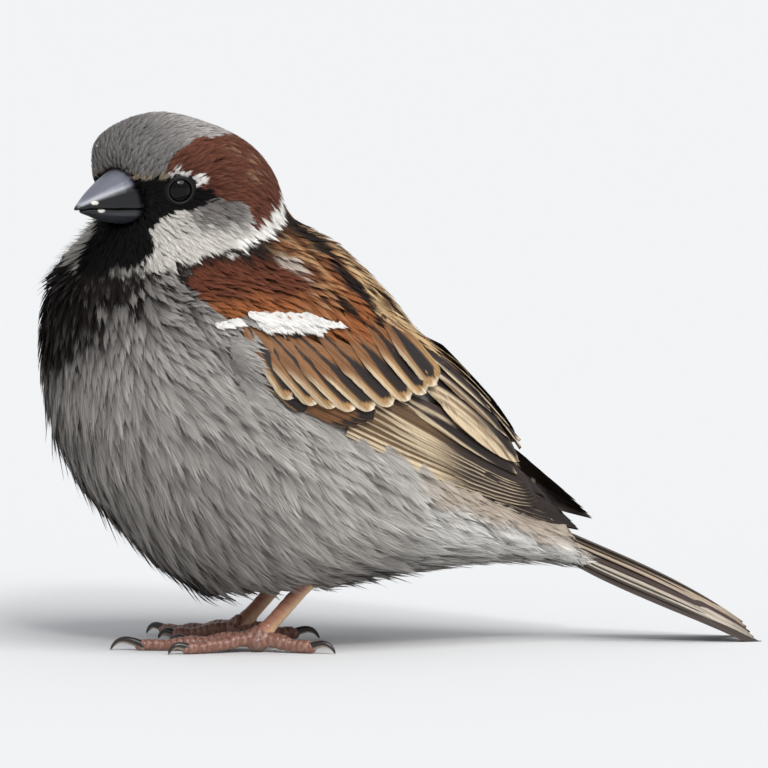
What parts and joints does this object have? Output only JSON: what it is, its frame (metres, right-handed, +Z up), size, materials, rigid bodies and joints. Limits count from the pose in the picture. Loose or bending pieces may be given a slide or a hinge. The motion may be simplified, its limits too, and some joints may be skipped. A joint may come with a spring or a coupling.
{
  "type": "house sparrow",
  "caption": "Life-size still model of a plump adult male songbird standing on the floor, head turned over its left shoulder, wings folded, tail slanting down to the ground.",
  "frame": {"origin": "on the floor under the middle of the bird's box, in its mid-plane", "axes": "+Z up; -Y the way the body faces; +X the bird's left, the side it looks over"},
  "size_m": [0.0518, 0.1173, 0.0869],
  "materials": {
    "plumage": "soft feathers: grey crown and belly, black bib, chestnut nape",
    "flight_feathers": "smooth vaned feathers: dark centres with chestnut, buff and white edges",
    "bill_horn": "dark horn, satin",
    "eye": "wet, very dark brown",
    "leg_skin": "scaly pinkish-brown skin",
    "claw_horn": "dark horn, satin"
  },
  "bodies": {
    "root": {"head": "plumage", "neck": "plumage", "trunk": "plumage", "thigh_left": "plumage", "thigh_right": "plumage", "wing_left": "flight_feathers", "wing_right": "flight_feathers", "wing_tip_left": "flight_feathers", "wing_tip_right": "flight_feathers", "tail": "flight_feathers", "bill_upper": "bill_horn", "bill_lower": "bill_horn", "eye_left": "eye", "eye_right": "eye", "tarsus_left": "leg_skin", "tarsus_right": "leg_skin", "toe_inner_left": "leg_skin", "toe_middle_left": "leg_skin", "toe_outer_left": "leg_skin", "toe_hind_left": "leg_skin", "toe_inner_right": "leg_skin", "toe_middle_right": "leg_skin", "toe_outer_right": "leg_skin", "toe_hind_right": "leg_skin", "claw_inner_left": "claw_horn", "claw_middle_left": "claw_horn", "claw_outer_left": "claw_horn", "claw_hind_left": "claw_horn", "claw_inner_right": "claw_horn", "claw_middle_right": "claw_horn", "claw_outer_right": "claw_horn", "claw_hind_right": "claw_horn"}
  },
  "joints": []
}
